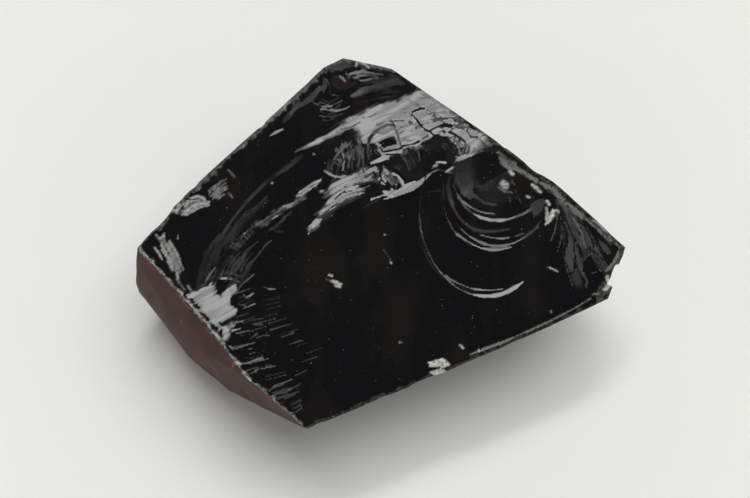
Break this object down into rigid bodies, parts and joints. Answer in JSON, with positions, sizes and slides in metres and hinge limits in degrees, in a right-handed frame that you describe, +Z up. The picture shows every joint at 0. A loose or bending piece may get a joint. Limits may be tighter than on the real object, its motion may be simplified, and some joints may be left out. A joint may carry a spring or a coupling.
{
  "type": "obsidian chunk",
  "caption": "Palm-sized lump of black obsidian with glossy shell-like fracture faces, sharp rims, a ringed scar and one dull brown side, lying on its flat back.",
  "frame": {"origin": "centre of the footprint, on the flat break that the lump rests on", "axes": "+Z up through the glossy main face, +X along the long diagonal of the lump towards its pointed end, -Y towards the clean rippled edge, with the brown rind side facing -X and -Y"},
  "size_m": [0.0604, 0.0499, 0.0185],
  "materials": {
    "obsidian": "black volcanic glass, glossy where freshly broken, dull mahogany brown on the rind side"
  },
  "bodies": {
    "root": {"obsidian_chunk": "obsidian"}
  },
  "joints": []
}
